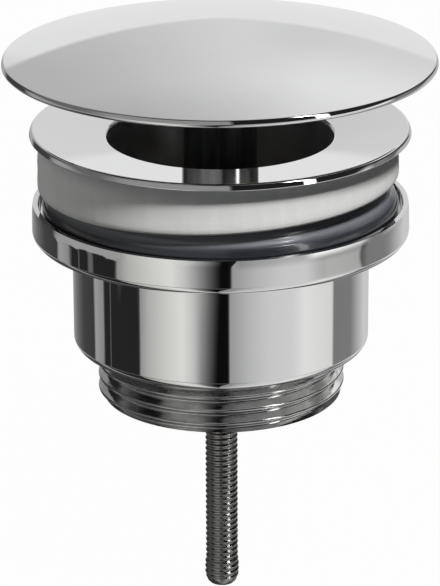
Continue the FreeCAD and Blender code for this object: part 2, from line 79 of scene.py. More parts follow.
class Value:
    """A shader socket that can be reckoned with."""

    def __init__(self, nodes, socket):
        self.nodes = nodes
        self.socket = socket

    def reckon(self, operation, *others, first=None):
        terms = [self, *others] if first is None else [first, self, *others]
        return self.nodes.add("ShaderNodeMath", {"operation": operation}, *terms).out()

    def __add__(self, other):
        return self.reckon("ADD", other)

    __radd__ = __add__

    def __mul__(self, other):
        return self.reckon("MULTIPLY", other)

    __rmul__ = __mul__

    def __sub__(self, other):
        return self.reckon("SUBTRACT", other)

    def __rsub__(self, other):
        return self.reckon("SUBTRACT", first=other)

    def __neg__(self):
        return self * -1

    def __lt__(self, other):
        return self.reckon("LESS_THAN", other)

    def clamped(self, low=0.0, high=1.0):
        return self.nodes.add("ShaderNodeClamp", {}, self, low, high).out()

    def between(self, low, high, start=0.0, finish=1.0):
        """Smoothly from start at low to finish at high."""
        settings = {"interpolation_type": "SMOOTHSTEP"}
        return self.nodes.add("ShaderNodeMapRange", settings, self, low, high, start, finish).out()

    def within(self, first, last, soft):
        """One from first to last and nothing outside them, with both edges softened."""
        return self.between(first - soft, first + soft) * self.between(last + soft, last - soft)

    def ramp(self, stops):
        """Colours along the value, from stops of value and colour."""
        first = stops[0][0]
        span = stops[-1][0] - first
        share = ((self - first) * (1 / span)).clamped()
        placed = [((value - first) / span, colour) for value, colour in stops]
        return self.nodes.add("ShaderNodeValToRGB", {"stops": placed}, share).out()


class Node:
    """A shader node whose outputs are taken by name or number."""

    def __init__(self, nodes, node):
        self.nodes = nodes
        self.node = node

    def out(self, name=0):
        return Value(self.nodes, self.node.outputs[name])


class Nodes:
    """The node tree of a material or of the world."""

    def __init__(self, owner):
        owner.use_nodes = True
        self.tree = owner.node_tree
        self.tree.nodes.clear()

    def add(self, kind, settings, *inputs, **named):
        """A node of a kind, its settings made first, then its sockets given by order or by name."""
        node = self.tree.nodes.new(kind)
        for name, setting in settings.items():
            if name == "stops":
                fill_ramp(node.color_ramp, setting)
            else:
                setattr(node, name, setting)
        for place, given in enumerate(inputs):
            self.feed(node.inputs[place], given)
        for name, given in named.items():
            self.feed(node.inputs[name.replace("_", " ")], given)
        return Node(self, node)

    def feed(self, socket, given):
        if isinstance(given, Value):
            self.tree.links.new(given.socket, socket)
        else:
            socket.default_value = given

    def blend(self, share, first, second):
        """A colour between two, by share. Each of the two is linked, or given as for colour_of."""
        factor_socket = 0
        colour_sockets = (6, 7)
        blended_socket = 2
        mixed = self.add("ShaderNodeMix", {"data_type": "RGBA"})
        self.feed(mixed.node.inputs[factor_socket], share)
        for place, given in zip(colour_sockets, (first, second)):
            self.feed(mixed.node.inputs[place], given if isinstance(given, Value) else colour_of(given))
        return mixed.out(blended_socket)

    def grey(self, tone):
        """A grey colour from a number that varies."""
        return self.add("ShaderNodeCombineColor", {}, tone, tone, tone).out()

    def noise(self, where, scale, detail=2.0, roughness=0.5):
        return self.add(
            "ShaderNodeTexNoise", {}, Vector=where, Scale=scale, Detail=detail, Roughness=roughness
        ).out()

    def place(self, stretch=(1.0, 1.0, 1.0)):
        """The place on the piece, stretched along the axes."""
        spot = self.add("ShaderNodeTexCoord", {}).out("Object")
        return self.add("ShaderNodeMapping", {}, Vector=spot, Scale=stretch).out()

    def bump(self, height, distance, strength):
        return self.add("ShaderNodeBump", {}, Strength=strength, Distance=distance, Height=height).out()


def fill_ramp(ramp, stops):
    """Set a new ramp's stops. It comes with two of its own, which take the first two places."""
    for number, (place, colour) in enumerate(stops):
        element = ramp.elements[number] if number < 2 else ramp.elements.new(place)
        element.position = place
        element.color = colour_of(colour)


# Studio

# Turns are degrees from straight ahead of the object towards the right, and heights are degrees above the
# level. Each set is what stands round the object, as stops of turn and tone.

WARM = (0.82, 0.815, 0.79)
WARM_EDGE = (0.72, 0.712, 0.695)

# Low down: panels of light with dark gaps between them
LOW_SET = [
    (-180, 0.50), (-165, 0.30), (-150, 0.15), (-135, 0.06), (-118, 0.045), (-116, 0.36), (-105, 0.27),
    (-103.5, 0.02), (-67.8, 0.018), (-66, (0.30, 0.30, 0.29)), (-57, (0.48, 0.483, 0.46)),
    (-42, (0.66, 0.664, 0.63)), (-30, (0.77, 0.775, 0.74)), (-22, (0.60, 0.603, 0.58)), (-13, 0.28),
    (-8, 0.13), (-3.5, 0.04), (-0.5, 0.004), (5.6, 0.004), (6.8, 0.34), (22, 0.52), (38, 0.64), (55, 0.67),
    (59, 0.70), (68, WARM), (96.4, WARM_EDGE), (98, 0.20), (121, 0.21), (134, 0.43), (148, 0.62),
    (180, 0.55),
]
# Just below the panels: what the screw mirrors
FOOT_SET = [
    (-180, 0.6), (-117, 0.26), (-94, 0.15), (-67, 0.10), (-44, 0.12), (-2, 0.16), (18, 0.22), (30, 0.62),
    (52, 0.62), (68, 0.46), (88, 0.44), (122, 0.85), (180, 0.6),
]
# Above the panels, and above that
BROW_SET = [
    (-180, 0.14), (-118, 0.12), (-75, 0.14), (-58, 0.28), (5.2, 0.28), (6.4, 0.012), (140, 0.02),
    (150, 0.06), (165, 0.3),
]
TOP_SET = [(-180, 0.30), (-118, 0.05), (-8, 0.045), (2, 0.02), (98, 0.02), (150, 0.2)]

# The ceiling's tone from left to right, by the share of the ray that goes across
CEILING_SET = [(-0.6, 0.40), (-0.19, 0.50), (-0.12, 0.55), (0.0, 0.69), (0.12, 0.83), (0.3, 0.88)]


class Ray:
    """Where a ray goes: its shares across, away and up, and its turn and height in degrees."""

    def __init__(self, nodes):
        heading = nodes.add("ShaderNodeTexCoord", {}).out("Generated")
        apart = nodes.add("ShaderNodeSeparateXYZ", {}, heading)
        degrees = 180 / math.pi
        self.across, self.away, self.up = (apart.out(name) for name in "XYZ")
        self.sideways = self.across.reckon("ABSOLUTE")
        self.turn = self.across.reckon("ARCTAN2", -self.away) * degrees
        self.height = self.up.reckon("ARCSINE") * degrees


def low_panels(nodes, ray):
    """The panels that the cup, the waist and the threads mirror."""
    turn = ray.turn
    height = ray.height
    # Edges that lean: the black gap's left side, low down and high up, and the end of the last panel
    lean = turn.within(-18, 2, 3) * (height + 19.7).clamped(-2.5, 0) * 1.8
    lean = lean + turn.within(-26, 0, 6) * height.between(-13, -3) * 3
    lean = lean - turn.within(86, 120, 6) * height.between(-19.2, -18.2) * 4.4
    # The dark block at the left has ragged edges
    patch = nodes.add("ShaderNodeCombineXYZ", {}, turn * 0.10, 0.0, height * 0.16).out()
    ragged = nodes.noise(patch, 1.0, 3, 0.6) - 0.5
    at_left = turn.between(-56, -64) * turn.between(-122, -116)
    low = (turn - lean + ragged * at_left * 8).ramp(LOW_SET)
    # Two thin pale slats show in it, and grey above it
    slats = turn.within(-96, -95, 0.4) * 0.12
    slats = slats + turn.within(-87.5, -83.5, 0.9) * height.between(-20.2, -18.6) * 0.14
    low = nodes.blend(slats, low, (0.8, 0.8, 0.79))
    above_block = (height + ragged * 12).between(-15.5, -13.5) * at_left
    low = nodes.blend(above_block, low, (0.34, 0.34, 0.335))
    # The panels at the right darken upwards, and the last of them ends in a bright top
    past_top = height.between(-19.6, -18.4) * turn.between(50, 66) * 0.42
    past_top = past_top + height.between(-19.8, -6) * 0.30
    low = nodes.blend(past_top * turn.within(9.5, 98, 2.5), low, 0.02)
    bright_top = height.between(-14, -3) * turn.within(54, 98, 5)
    low = nodes.blend(bright_top, low, (1.1, 1.1, 1.08))
    # The black gap spreads to the right at its top and narrows from the right at its foot
    spread = turn.within(5, 14, 1) * (height - turn * 2.6).between(-28, -25)
    low = nodes.blend(spread, low, 0.008)
    narrowed = (turn - (height + 26) * 0.2).between(5, 8) * height.between(-24.5, -27) * turn.between(14, 9)
    low = nodes.blend(narrowed, low, 0.30)
    # Below the panels lies the screw's own set, and it is dark under the far side
    low = nodes.blend(height.within(-27.5, -22.45, 0.35), low, turn.ramp(FOOT_SET))
    under = ray.away.between(0.05, 0.3) * height.between(-24, -30) * ray.across.within(-0.5, 0.4, 0.1)
    return nodes.blend(under, low, 0.05)


def front_half(nodes, ray):
    """The low panels, a dark brow above them with a bright strip and a bright patch, and the top."""
    brow = ray.turn.ramp(BROW_SET)
    top = ray.turn.ramp(TOP_SET)
    front = nodes.blend(ray.height.between(46, 58), brow, top)
    strip = ray.turn.within(50.5, 57.0, 1.2) * ray.height.within(2, 34, 4)
    front = nodes.blend(strip, front, (6.0, 6.0, 5.9))
    patch = ray.turn.within(50, 60, 4) * ray.height.within(44, 52, 3)
    front = nodes.blend(patch, front, (22.0, 22.0, 21.6))
    return nodes.blend(ray.height.between(0, 4), low_panels(nodes, ray), front)


def back_half(nodes, ray):
    """What the flange and the dome mirror: a wall in pale and dark fields, and a ceiling over it."""
    across = ray.across
    up = ray.up
    # The wall's top is lowest in the middle and rises faster at the left
    wall_top = ray.sideways * (across < 0.0) * 0.18 + ray.sideways * 0.47 + 0.168
    # The ceiling is darker low at the right, and high up, most of all at the left
    tone = across.ramp(CEILING_SET)
    tone = tone * (1 - across.between(0.0, 0.1) * up.between(0.60, 0.28) * 0.17)
    tone = tone * (1 - up.between(0.55, 0.80) * across.between(0.3, 0.0, 0.45, 1.0) * 0.22)
    ceiling = nodes.add("ShaderNodeCombineColor", {}, tone, tone, tone * 1.005).out()
    wall = nodes.blend(across.between(-0.16, -0.3), (0.81, 0.81, 0.815), 0.42)
    wall = nodes.blend(across.between(-0.44, -0.6), wall, 0.05)
    wall = nodes.blend(across.between(0.2, 0.3), wall, 0.48)
    wall = nodes.blend(across.between(0.4, 0.5) * ray.height.between(-6, -3), wall, 0.07)
    return nodes.blend((up - wall_top).between(-0.015, 0.02), wall, ceiling)


def make_world():
    """A studio that only mirrors show, soft light for other surfaces, and plain white to look at."""
    world = bpy.data.worlds.new("studio")
    SCENE.world = world
    nodes = Nodes(world)
    ray = Ray(nodes)
    behind = (ray.away - ray.sideways * 0.45).between(-0.1, 0.3) * ray.height.between(-14.5, -11.5)
    studio = nodes.blend(behind, front_half(nodes, ray), back_half(nodes, ray))
    overhead = ray.up.between(0.5, 0.95) * 0.6
    from_left = ray.across.between(-0.3, -0.9) * ray.up.between(-0.1, 0.2) * 0.6
    soft = nodes.grey(overhead + from_left + 0.01)
    rays = nodes.add("ShaderNodeLightPath", {})
    light = nodes.blend(rays.out("Is Glossy Ray"), soft, studio)
    straight = (rays.out("Is Camera Ray") + rays.out("Is Transmission Ray")).clamped()
    light = nodes.blend(straight, light, 1.0)
    background = nodes.add("ShaderNodeBackground", {}, Color=light).out()
    nodes.add("ShaderNodeOutputWorld", {}, Surface=background)


def make_softbox():
    """The one lamp, for the foam and the rubber. The chrome doesn't mirror it."""
    place = (0.228, -0.365, 0.638)
    width = 0.10
    height = 0.16
    watts = 7.7
    light = bpy.data.lights.new("softbox", "AREA")
    light.shape = "RECTANGLE"
    light.size = width
    light.size_y = height
    light.energy = watts
    lamp = bpy.data.objects.new("softbox", light)
    SCENE.collection.objects.link(lamp)
    lamp.visible_glossy = False
    facing_object = Vector(place).to_track_quat("Z", "Y").to_matrix().to_4x4()
    lamp.matrix_world = Matrix.Translation(place) @ facing_object


def make_floor():
    """A plain floor just under the screw's end."""
    gap = 0.0002
    half_width = 3
    screw_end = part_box("clamping_screw")[0].z
    mesh = bmesh.new()
    bmesh.ops.create_grid(mesh, x_segments=1, y_segments=1, size=half_width)
    bmesh.ops.translate(mesh, vec=(0, 0, screw_end - gap), verts=mesh.verts)
    floor = show(mesh, "floor", pale_floor())
    floor.visible_glossy = False


def pale_floor():
    """White where it is looked at, matte enough to keep a faint shadow, and clear from below."""
    glow_share = 0.985
    material = bpy.data.materials.new("pale_floor")
    nodes = Nodes(material)
    grain = nodes.noise(nodes.place(), 40).between(0.3, 0.7, 0.06, 0.08)
    matte = nodes.add("ShaderNodeBsdfDiffuse", {}, Color=nodes.grey(grain)).out()
    glow = nodes.add("ShaderNodeEmission", {}, Color=colour_of(1.0), Strength=1.0).out()
    rays = nodes.add("ShaderNodeLightPath", {})
    straight = rays.out("Is Camera Ray") + rays.out("Is Glossy Ray") + rays.out("Is Transmission Ray")
    mixed = nodes.add("ShaderNodeMixShader", {}, straight.clamped() * glow_share, matte, glow).out()
    clear = nodes.add("ShaderNodeBsdfTransparent", {}, Color=colour_of(1.0)).out()
    from_below = nodes.add("ShaderNodeNewGeometry", {}).out("Backfacing")
    mixed = nodes.add("ShaderNodeMixShader", {}, from_below, mixed, clear).out()
    nodes.add("ShaderNodeOutputMaterial", {}, Surface=mixed)
    return material


# Finishes

def finish(make):
    """A material named after make, which fills in its one Principled shader."""
    material = bpy.data.materials.new(make.__name__)
    nodes = Nodes(material)
    surface = nodes.add("ShaderNodeBsdfPrincipled", {}, **make(nodes)).out()
    nodes.add("ShaderNodeOutputMaterial", {}, Surface=surface)
    return material


def polished_chrome(nodes):
    """Mirror plate with a faint cloud in its colour and wipe marks round it."""
    cloud = nodes.noise(nodes.place(), 120, 3)
    wipes = nodes.noise(nodes.place((1, 1, 9)), 260, 4, 0.7)
    return {
        "Base_Color": nodes.blend(cloud, (0.86, 0.865, 0.875), 0.90),
        "Metallic": 1.0,
        "Roughness": wipes.between(0.35, 0.8, 0.018, 0.05),
        "Normal": nodes.bump(nodes.noise(nodes.place(), 55), 0.00002, 0.35),
    }


def dull_throat(nodes):
    """Duller, darker plate for the hollows and undersides: partly the bare cast metal, partly painted
    shade.
    """
    cloud = nodes.noise(nodes.place(), 300, 4)
    return {
        "Base_Color": nodes.blend(cloud, (0.43, 0.45, 0.49), (0.55, 0.57, 0.61)),
        "Metallic": 1.0,
        "Roughness": cloud.between(0.3, 0.7, 0.28, 0.5),
        "Normal": nodes.bump(cloud, 0.00004, 0.6),
    }


def drawn_post(nodes):
    """Drawn rod's plate, faintly lined along its length; its dull dark base is painted shade under the cap.
    """
    lines = nodes.noise(nodes.place((1, 1, 0.05)), 900, 3, 0.6)
    cloud = nodes.noise(nodes.place(), 180, 3)
    return {
        "Base_Color": nodes.blend(lines.between(0.3, 0.7), 0.31, 0.47),
        "Metallic": 1.0,
        "Roughness": cloud.between(0.3, 0.7, 0.10, 0.17),
        "Normal": nodes.bump(lines, 0.00001, 0.4),
    }


def cut_thread(nodes):
    """Plate over a cut thread: duller than on the walls, with tool marks, and a painted highlight at the
    right.
    """
    cloud = nodes.noise(nodes.place(), 210, 4, 0.6)
    marks = nodes.noise(nodes.place((0.5, 0.5, 7)), 700, 3, 0.6)
    beside = nodes.add("ShaderNodeSeparateXYZ", {}, nodes.place()).out("X")
    plate = nodes.blend(cloud.between(0.3, 0.7), 0.42, (0.56, 0.56, 0.555))
    return {
        # Painted highlight: the plate pales towards the right, where the tail's side shows a bright
        # reflection.
        "Base_Color": nodes.blend(beside.between(0.010, 0.019), plate, (0.90, 0.90, 0.89)),
        "Metallic": 1.0,
        "Roughness": marks.between(0.3, 0.75, 0.06, 0.15),
        "Normal": nodes.bump(marks * 0.7 + cloud * 0.3, 0.00004, 0.6),
    }


def machined_brass(nodes):
    """Bare brass with turning marks round it and some stain."""
    rings = nodes.noise(nodes.place((1, 1, 24)), 420, 3)
    stain = nodes.noise(nodes.place(), 90, 4)
    return {
        "Base_Color": nodes.blend(stain, (0.50, 0.38, 0.17), (0.66, 0.53, 0.28)),
        "Metallic": 1.0,
        "Roughness": stain.between(0.3, 0.7, 0.22, 0.42),
        "Normal": nodes.bump(rings, 0.00003, 0.5),
    }


def zinc_plate(nodes):
    """Grey plated steel with a fine spangle."""
    spangle = nodes.noise(nodes.place(), 900, 3)
    stain = nodes.noise(nodes.place(), 160, 4)
    return {
        "Base_Color": nodes.blend(stain, (0.27, 0.27, 0.265), (0.36, 0.355, 0.35)),
        "Metallic": 1.0,
        "Roughness": spangle.between(0.3, 0.7, 0.16, 0.28),
        "Normal": nodes.bump(spangle, 0.00002, 0.5),
    }


def black_steel(nodes):
    """Hardened spring steel, oiled black."""
    stain = nodes.noise(nodes.place(), 500, 3)
    return {
        "Base_Color": nodes.blend(stain, (0.10, 0.10, 0.11), (0.20, 0.20, 0.21)),
        "Metallic": 1.0,
        "Roughness": stain.between(0.3, 0.7, 0.3, 0.5),
        "Normal": nodes.bump(stain, 0.00002, 0.4),
    }


def white_foam(nodes):
    """Matte closed-cell foam: fine cells, and pale streaks down its side."""
    cells = nodes.add(
        "ShaderNodeTexVoronoi", {"feature": "SMOOTH_F1"}, Vector=nodes.place(), Scale=2600.0, Smoothness=0.4
    ).out("Distance")
    streaks = nodes.noise(nodes.place((1, 1, 0.12)), 520, 3, 0.6)
    cloud = nodes.noise(nodes.place(), 130, 3)
    tone = nodes.blend(cloud, (0.74, 0.735, 0.715), (0.80, 0.80, 0.785))
    tone = nodes.blend(streaks.between(0.35, 0.7) * 0.35, tone, (0.88, 0.88, 0.87))
    return {
        "Base_Color": tone,
        "Roughness": cells.between(0.0, 0.6, 0.72, 0.92),
        "Normal": nodes.bump(cells * 0.5 + streaks, 0.00006, 0.35),
    }


def grey_rubber(nodes):
    """Slate rubber: painted shade on the band at its foot, painted light on the cone, most at the left."""
    band_top = (-0.0112, -0.0098)
    painted_light_foot = (-0.0109, -0.0098)
    cloud = nodes.noise(nodes.place(), 200, 3)
    rings = nodes.noise(nodes.place((0.25, 0.25, 8)), 330, 3, 0.6)
    apart = nodes.add("ShaderNodeSeparateXYZ", {}, nodes.place())
    beside = apart.out("X")
    height = apart.out("Z")
    # Painted light: the cone is paler high up, under the foam's shadow, and most at the left.
    painted_light = height.between(*painted_light_foot) * beside.between(0.016, 0.004, 0.35, 1.0)
    painted_light = (painted_light + beside.between(-0.002, -0.018) * 0.8).clamped()
    cone = nodes.blend(cloud, (0.070, 0.076, 0.090), (0.100, 0.108, 0.126))
    cone = nodes.blend(painted_light, cone, (0.30, 0.31, 0.33))
    # Painted shade: the band at the foot, down by the cup's rim, is darker than the cone.
    band = nodes.blend(cloud, (0.016, 0.017, 0.021), (0.028, 0.030, 0.036))
    return {
        "Base_Color": nodes.blend(height.between(*band_top), band, cone),
        "Roughness": rings.between(0.3, 0.7, 0.22, 0.32),
        "Normal": nodes.bump(rings, 0.00002, 0.4),
        "Coat_Weight": 0.5,
    }


def black_rubber(nodes):
    """Plain soft black rubber."""
    cloud = nodes.noise(nodes.place(), 800, 3)
    return {
        "Base_Color": nodes.blend(cloud, (0.018, 0.018, 0.019), (0.04, 0.04, 0.042)),
        "Roughness": cloud.between(0.3, 0.7, 0.4, 0.6),
        "Normal": nodes.bump(cloud, 0.00002, 0.4),
    }


# Making and shaping pieces

def show(mesh, name, *materials):
    """Put a mesh in the scene as an object."""
    data = bpy.data.meshes.new(name)
    mesh.to_mesh(data)
    mesh.free()
    thing = bpy.data.objects.new(name, data)
    SCENE.collection.objects.link(thing)
    for material in materials:
        data.materials.append(material)
    return thing


def add_piece(mesh, name, body, slot, *materials, stands_for, crease=32):
    """Put a finished mesh in the scene as a piece that rides on a body and stands for a node."""
    thing = show(mesh, name, *materials)
    thing.data.polygons.foreach_set("use_smooth", [True] * len(thing.data.polygons))
    thing.data.set_sharp_from_angle(angle=math.radians(crease))
    even = thing.modifiers.new("even", "WEIGHTED_NORMAL")
    even.keep_sharp = True
    even.weight = 60
    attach(thing, body)
    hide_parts(stands_for)


class Outline:
    """A wire outline beside the axis, drawn from point to point, to be turned about the axis."""

    def __init__(self, across, up):
        self.mesh = bmesh.new()
        self.first = self.tip = self.mesh.verts.new((across * MM, 0, up * MM))

    def to(self, *places):
        for across, up in places:
            end = self.mesh.verts.new((across * MM, 0, up * MM))
            self.mesh.edges.new((self.tip, end))
            self.tip = end
        return self

    def arc(self, across, up, turn, steps):
        """Swing the tip about a centre, clockwise in degrees as drawn with the axis on the left."""
        swung = bmesh.ops.spin(
            self.mesh, geom=[self.tip], cent=(across * MM, 0, up * MM), axis=(0, 1, 0),
            angle=math.radians(turn), steps=steps,
        )
        self.tip = swung["geom_last"][0]
        return self

    def close(self):
        self.mesh.edges.new((self.tip, self.first))
        return self

    def turned(self, steps=STEPS_ROUND):
        """The solid of revolution."""
        bmesh.ops.spin(
            self.mesh, geom=self.mesh.verts[:] + self.mesh.edges[:], cent=(0, 0, 0), axis=(0, 0, 1),
            angle=2 * math.pi, steps=steps, use_merge=True,
        )
        bmesh.ops.remove_doubles(self.mesh, verts=self.mesh.verts, dist=1e-7)
        bmesh.ops.recalc_face_normals(self.mesh, faces=self.mesh.faces)
        return self.mesh


def dome(outline, rise, reach):
    """Swing an outline's tip from the axis down to the edge of a shallow dome, or back up to the axis."""
    steps = 26
    radius = (reach * reach + rise * rise) / (2 * rise)
    swing = math.degrees(math.asin(reach / radius))
    tip = outline.tip.co.z / MM
    if outline.tip.co.x < 1e-6:
        return outline.arc(0, tip - radius, swing, steps)
    return outline.arc(0, tip + rise - radius, -swing, steps)


def round_edges(mesh, edges, size, segments):
    """Round edges off by a size in millimetres."""
    bmesh.ops.bevel(
        mesh, geom=edges, offset=size * MM, offset_type="OFFSET", segments=segments, profile=0.5,
        affect="EDGES", material=-1, clamp_overlap=True,
    )


def soften(mesh, across, up, size, segments):
    """Round the circular edge that lies at a distance and a height."""
    near = 2e-6

    def on_ring(vert):
        off_distance = abs(math.hypot(vert.co.x, vert.co.y) - across * MM)
        off_height = abs(vert.co.z - up * MM)
        return off_distance < near and off_height < near

    ring = [edge for edge in mesh.edges if all(on_ring(vert) for vert in edge.verts)]
    round_edges(mesh, ring, size, segments)


def helix(outline, pitch, foot, turns, steps):
    """A threaded skin: one pitch of outline wound once round the axis at the foot, and repeated upwards."""
    mesh = outline.mesh
    bmesh.ops.translate(mesh, vec=(0, 0, foot * MM), verts=mesh.verts)
    bmesh.ops.spin(
        mesh, geom=mesh.verts[:] + mesh.edges[:], cent=(0, 0, 0), axis=(0, 0, 1),
        dvec=(0, 0, pitch * MM / steps), angle=2 * math.pi, steps=steps,
    )
    turn = mesh.verts[:] + mesh.edges[:] + mesh.faces[:]
    for number in range(1, turns):
        copied = bmesh.ops.duplicate(mesh, geom=turn)["geom"]
        raised = [part for part in copied if isinstance(part, bmesh.types.BMVert)]
        bmesh.ops.translate(mesh, vec=(0, 0, number * pitch * MM), verts=raised)
    bmesh.ops.remove_doubles(mesh, verts=mesh.verts, dist=2e-6)
    return mesh


def trim(mesh, low, high):
    """Cut a skin off level at two heights."""
    for height, upwards in ((low, -1), (high, 1)):
        bmesh.ops.bisect_plane(
            mesh, geom=mesh.verts[:] + mesh.edges[:] + mesh.faces[:], dist=1e-7,
            plane_co=(0, 0, height * MM), plane_no=(0, 0, upwards), clear_outer=True,
        )


def turn_down(mesh, *limits):
    """Bring a skin in to no more than a distance that changes evenly with height between limits."""
    slack = 0.001
    for vert in mesh.verts:
        height = vert.co.z / MM
        for (low, at_low), (high, at_high) in zip(limits, limits[1:]):
            if low - slack <= height <= high + slack:
                most = at_low + (at_high - at_low) * (height - low) / (high - low)
                reach = math.hypot(vert.co.x, vert.co.y) / MM
                if reach > most:
                    vert.co.x *= most / reach
                    vert.co.y *= most / reach
                break


def join(mesh, other):
    """Add another mesh to a mesh."""
    data = bpy.data.meshes.new("joined")
    other.to_mesh(data)
    other.free()
    mesh.from_mesh(data)
    bpy.data.meshes.remove(data)


def stitch(mesh, *heights):
    """Close the gap at each height between two open rings that face each other there."""
    near = 0.15 * MM
    for height in heights:
        rims = [
            edge for edge in mesh.edges
            if edge.is_boundary and all(abs(vert.co.z - height * MM) < near for vert in edge.verts)
        ]
        bmesh.ops.bridge_loops(mesh, edges=rims)
    bmesh.ops.recalc_face_normals(mesh, faces=mesh.faces)


def paint(mesh, number, wanted):
    """Give the faces whose middle satisfies wanted another of the piece's materials, by its number."""
    for face in mesh.faces:
        middle = face.calc_center_median()
        if wanted(math.hypot(middle.x, middle.y) / MM, middle.z / MM, face.normal):
            face.material_index = number


# Upper body and cap

def make_upper_body():
    """Dished mirror flange, and below it the neck with the throat inside."""
    rim = 31.95
    rim_top = 1.1
    rim_slant = 0.3
    neck = 21.2
    neck_top = -1.55
    neck_end = -24
    chamfer = 0.6
    throat = 18.9
    throat_top = -0.45
    throat_edge = 0.5
    shoulder_bore = 17.6
    shoulder = -20
    clear = 0.1
    mesh = Outline(throat, throat_top).to(
        (rim - rim_slant, rim_top), (rim, 0), (neck, neck_top),
        (neck, neck_end + chamfer), (neck - chamfer, neck_end), (shoulder_bore, neck_end),
        (shoulder_bore, shoulder), (throat, shoulder),
    ).close().turned()
    soften(mesh, rim - rim_slant, rim_top, size=0.42, segments=8)
    soften(mesh, rim, 0, size=0.12, segments=4)
    soften(mesh, throat, throat_top, size=throat_edge, segments=8)

    def dull(across, up, facing):
        inside = across < throat + clear and up < throat_top - throat_edge - clear / 2
        return inside or up < shoulder or facing.z < -0.9

    # The throat, the shoulder below it and the flange's underside take the dull plate, partly as painted
    # shade.
    paint(mesh, 1, dull)
    add_piece(
        mesh, "upper_body_polished", "upper", "chromed_brass", CHROME, THROAT, stands_for="upper_body"
    )


def make_cap_shell():
    """Shallow dome with a rounded shoulder, and a rim that flares a little and rolls under."""
    crown = 17.83
    outer_rise = 4.72
    outer_reach = 35.83
    shoulder = (35.7135, 12.675)
    flare = (36.245, 12.43)
    roll = (35.762, 12.301)
    inner_rise = 4.30
    inner_reach = 34.83
    lip = 11.63
    lip_height = 0.7
    outline = dome(Outline(0, crown), outer_rise, outer_reach)
    outline.arc(*shoulder, 60, 8).to(flare).arc(*roll, 100, 10)
    outline.to((inner_reach, lip), (inner_reach, lip + lip_height))
    mesh = dome(outline, inner_rise, inner_reach).turned(256)
    add_piece(mesh, "cap_shell_polished", "cap", "chromed_brass", CHROME, stands_for="cap_shell")


def make_cap_post():
    """Round post with a spigot for the boss at its top and a bore for the screw's head at its foot."""
    post = 6.15
    foot = -14.6
    shoulder = 13.28
    spigot = 3.0
    spigot_top = 15.88
    chamfer = 0.3
    bore = 5.08
    bore_top = -7
    mesh = Outline(0, spigot_top).to(
        (spigot - chamfer, spigot_top), (spigot, spigot_top - chamfer), (spigot, shoulder),
        (post, shoulder), (post, foot), (bore, foot), (bore, bore_top), (0, bore_top),
    ).turned(128)
    soften(mesh, post, foot, size=chamfer, segments=4)
    add_piece(mesh, "cap_post_polished", "cap", "chromed_brass", POST, stands_for="cap_post")


# Lower body

def pipe_thread(reach, pitch):
    """One pitch of a pipe thread from root to root, its crest and root rounded."""
    flank_angle = 27.5
    swing = 90 - flank_angle
    depth = 0.6403 * pitch
    curve = 0.1373 * pitch
    root = reach - depth
    flank = pitch / 2 - 2 * curve * math.sin(math.radians(swing))
    rise = curve * (1 - math.cos(math.radians(swing)))
    outline = Outline(root, 0)
    outline.arc(root + curve, 0, swing, 4)
    outline.to((reach - rise, outline.tip.co.z / MM + flank))
    outline.arc(reach - curve, pitch / 2, -2 * swing, 8)
    outline.to((root + rise, pitch - curve * math.sin(math.radians(swing))))
    outline.arc(root + curve, pitch, swing, 4)
    return outline


def make_lower_body():
    """Cup, waist and threaded tail. The thread is a skin of its own, stitched into a gap in the rest."""
    crest = 20.94
    pitch = 2.309
    undercut = 19.45
    undercut_foot = -38.0
    undercut_top = -37.1
    waist = 25.005
    waist_foot = -36.95
    cup = 31.75
    cup_foot = -17.8
    bulge_foot = (31.68, -13.6)
    bulge_centre = (19.68, -13.8)
    cup_inside = 30.6
    cup_rim = -11.93
    rim_chamfer = 0.12
    cup_floor = -15.05
    waist_bore = 22.6
    ledge = -34.2
    seat_bore = 17.0
    seat = -37.8
    tail_bore = 18.2
    tail_end = -46.1
    tail_end_reach = 20.05
    clear = 0.1
    rest = Outline(undercut, undercut_foot).to(
        (undercut, undercut_top), (waist, waist_foot), (waist, cup_foot), (cup, cup_foot), bulge_foot,
    ).arc(*bulge_centre, -8, 8).to(
        (cup_inside + rim_chamfer, cup_rim), (cup_inside, cup_rim - rim_chamfer), (cup_inside, cup_floor),
        (waist_bore, cup_floor), (waist_bore, ledge), (seat_bore, ledge), (seat_bore, seat),
        (tail_bore, seat), (tail_bore, tail_end), (tail_end_reach, tail_end),
    ).turned()
    soften(rest, waist, waist_foot, size=1.5, segments=10)
    soften(rest, cup, cup_foot, size=1.35, segments=10)
    skin = helix(pipe_thread(crest, pitch), pitch, foot=-49.5, turns=6, steps=STEPS_ROUND)
    trim(skin, tail_end + clear / 2, undercut_foot - clear)
    run_in = [(-46.06, 20.10), (-45.3, crest)]
    run_out = [(-39.0, crest), (-38.0, 19.46)]
    turn_down(skin, *run_in, *run_out)
    join(rest, skin)
    stitch(rest, tail_end, undercut_foot)

    def inside(across, up, facing):
        return across < tail_bore + clear or (across < waist_bore + clear and up > ledge - clear)

    def threaded(across, up, facing):
        return tail_bore + clear < across < crest + clear and up < undercut_top - clear / 2

    # The bores take the dull plate, partly as painted shade down inside.
    paint(rest, 1, inside)
    paint(rest, 2, threaded)
    add_piece(
        rest, "lower_body_polished", "lower", "chromed_brass", CHROME, THROAT, CUT_THREAD,
        stands_for="lower_body",
    )


# Foam gasket and rubber seal

